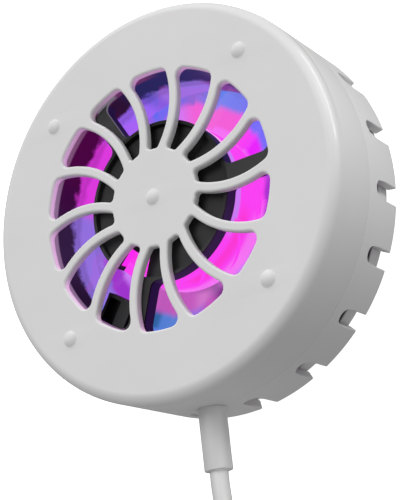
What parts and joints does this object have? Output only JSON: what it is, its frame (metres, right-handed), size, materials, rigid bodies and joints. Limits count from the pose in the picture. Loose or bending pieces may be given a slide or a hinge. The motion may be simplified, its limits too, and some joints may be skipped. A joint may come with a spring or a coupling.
{
  "type": "phone cooling fan",
  "caption": "Round magnetic phone cooler with a slotted front, a lit axial fan, a finned heat sink over a thermoelectric cold plate, edge air notches and a captive power cord.",
  "frame": {"origin": "centre of the contact face that lies against the phone", "axes": "+Z out of the slotted front along the fan's axis, -Y towards the cord, +X to the right"},
  "size_m": [0.0722, 0.132, 0.0187],
  "materials": {
    "shell_plastic": "fine satin moulded",
    "base_plastic": "fine satin moulded",
    "pad_silicone": "soft matte",
    "magnet_nickel": "nickel plated",
    "dark_steel": "plain",
    "cold_aluminium": "brushed anodised",
    "ceramic": "matte ceramic",
    "pellet_alloy": "metallic grey",
    "foam": "closed-cell foam",
    "red_wire": "satin insulation",
    "sink_aluminium": "die-cast",
    "screw_steel": "zinc plated",
    "board_green": "solder mask",
    "component_black": "matte moulded",
    "lamp_white": "lit colour lamp",
    "light_ring_clear": "translucent, lit violet and blue",
    "frame_black": "satin black",
    "label_black": "bare matte sticker",
    "bearing_bronze": "sintered",
    "stator_steel": "laminated",
    "winding_copper": "enamelled",
    "impeller_clear": "translucent, lit magenta",
    "shaft_steel": "ground",
    "clip_nylon": "natural",
    "boot_plastic": "soft moulded",
    "cord_jacket": "soft satin jacket",
    "tie_fabric": "woven hook-and-loop",
    "plug_plastic": "soft moulded",
    "plug_steel": "stamped nickel plated",
    "contact_gold": "gold plated"
  },
  "bodies": {
    "housing": {"front_cover": "shell_plastic", "rear_shell": "shell_plastic", "base_plate": "base_plastic", "contact_pad": "pad_silicone", "ring_magnets": "magnet_nickel", "magnet_yoke": "dark_steel", "cold_plate": "cold_aluminium", "tec_cold_ceramic": "ceramic", "tec_pellets": "pellet_alloy", "tec_hot_ceramic": "ceramic", "tec_gasket": "foam", "tec_wires": "red_wire", "heat_sink": "sink_aluminium", "heat_sink_screws": "screw_steel", "case_screws": "screw_steel", "main_board": "board_green", "board_components": "component_black", "ring_lamps": "lamp_white", "light_ring": "light_ring_clear", "fan_frame": "frame_black", "hub_label": "label_black", "sleeve_bearing": "bearing_bronze", "stator_core": "stator_steel", "stator_coils": "winding_copper", "stator_board": "board_green", "hub_lamps": "lamp_white", "fan_wires": "component_black", "cord_boot": "boot_plastic", "cord_inner": "cord_jacket", "power_wires": "red_wire", "cord_lead": "cord_jacket", "cord_coil": "cord_jacket", "cord_tail": "cord_jacket", "cord_tie": "tie_fabric", "plug_housing": "plug_plastic", "plug_shell": "plug_steel", "plug_insulator": "ceramic", "plug_contacts": "contact_gold"},
    "rotor": {"impeller": "impeller_clear", "rotor_cup": "dark_steel", "rotor_magnet": "pellet_alloy", "fan_shaft": "shaft_steel", "shaft_clip": "clip_nylon"}
  },
  "joints": [
    {"name": "fan_spin", "type": "hinge", "parent": "housing", "child": "rotor", "pos_m": [0, 0, 0], "axis": [0, 0, 1], "continuous": true}
  ]
}
